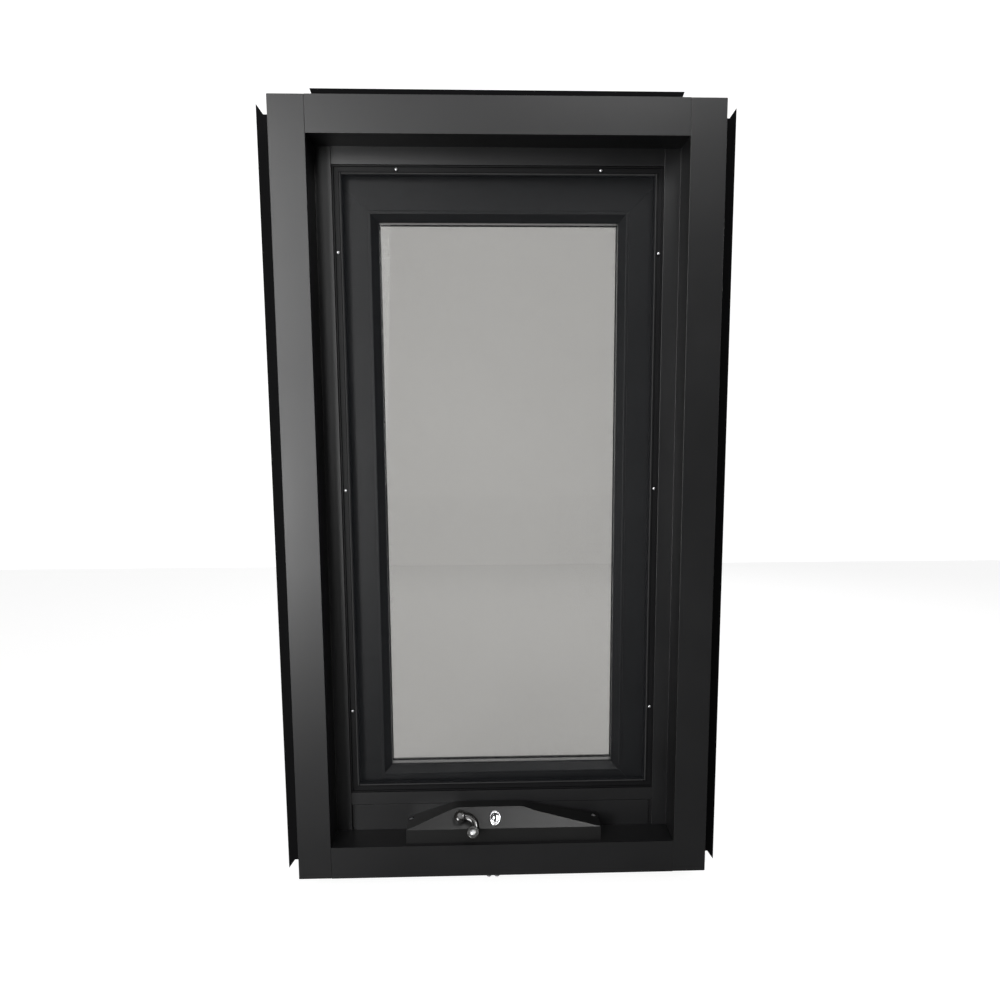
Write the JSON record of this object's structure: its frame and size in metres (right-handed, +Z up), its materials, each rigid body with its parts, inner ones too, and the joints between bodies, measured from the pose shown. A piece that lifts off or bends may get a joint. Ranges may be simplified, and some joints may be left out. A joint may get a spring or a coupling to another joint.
{
  "type": "top hung awning window",
  "caption": "Top hung awning window: black aluminium frame with nail fins, sash with sealed double glazing, insect screen and a chain winder with crank and key lock.",
  "frame": {"origin": "middle of the bottom nail fin's bearing face, which faces the room and lies on the wall's outside", "axes": "+X to the right as seen from the room, +Y towards the outside, +Z up"},
  "size_m": [0.66, 0.1299, 1.145],
  "materials": {
    "frame_coat": "satin black powder coat",
    "fin_coat": "matt black",
    "sash_coat": "satin black powder coat",
    "screen_frame_coat": "satin black powder coat",
    "winder_paint": "fine satin black paint",
    "crank_gloss": "gloss black",
    "lock_chrome": "polished",
    "bright_steel": "plain zinc and stainless steel",
    "mesh_weave": "black coated woven mesh",
    "seal_rubber": "matt",
    "clear_glass": "clear float glass",
    "spacer_metal": "black anodised"
  },
  "bodies": {
    "window": {"left_jamb": "frame_coat", "right_jamb": "frame_coat", "head": "frame_coat", "sill": "frame_coat", "winder_rail": "frame_coat", "left_nail_fin": "fin_coat", "right_nail_fin": "fin_coat", "top_nail_fin": "fin_coat", "bottom_nail_fin": "fin_coat", "screen_frame_left": "screen_frame_coat", "screen_frame_top": "screen_frame_coat", "screen_frame_right": "screen_frame_coat", "screen_frame_bottom": "screen_frame_coat", "sash_left_stile": "sash_coat", "sash_top_rail": "sash_coat", "sash_right_stile": "sash_coat", "sash_bottom_rail": "sash_coat", "bead_left": "sash_coat", "bead_top": "sash_coat", "bead_right": "sash_coat", "bead_bottom": "sash_coat", "insect_mesh": "mesh_weave", "screen_spline": "seal_rubber", "screen_pins": "bright_steel", "sash_seal": "seal_rubber", "bead_gasket": "seal_rubber", "outer_gasket": "seal_rubber", "inner_glass": "clear_glass", "outer_glass": "clear_glass", "glass_spacer": "spacer_metal", "winder_cover": "winder_paint", "winder_screws": "bright_steel", "lock_housing": "lock_chrome", "winder_chain": "bright_steel", "chain_bracket": "bright_steel", "left_stay": "bright_steel", "right_stay": "bright_steel", "sill_screws": "bright_steel"},
    "crank": {"crank": "crank_gloss", "knob_screw": "bright_steel"},
    "knob": {"crank_knob": "crank_gloss"},
    "lock_plug_body": {"lock_plug": "lock_chrome"}
  },
  "joints": [
    {"name": "crank_turn", "type": "hinge", "parent": "window", "child": "crank", "pos_m": [-0.0635, -0.04136, 0.09513], "axis": [0, -0.7226, 0.6912], "continuous": true},
    {"name": "knob_spin", "type": "hinge", "parent": "crank", "child": "knob", "pos_m": [-0.0439, -0.05981, 0.07583], "axis": [0, -0.7226, 0.6912], "continuous": true},
    {"name": "lock_turn", "type": "hinge", "parent": "window", "child": "lock_plug_body", "pos_m": [-0.012, -0.04191, 0.09455], "axis": [0, -0.7226, 0.6912], "range_deg": [0, 90]}
  ]
}
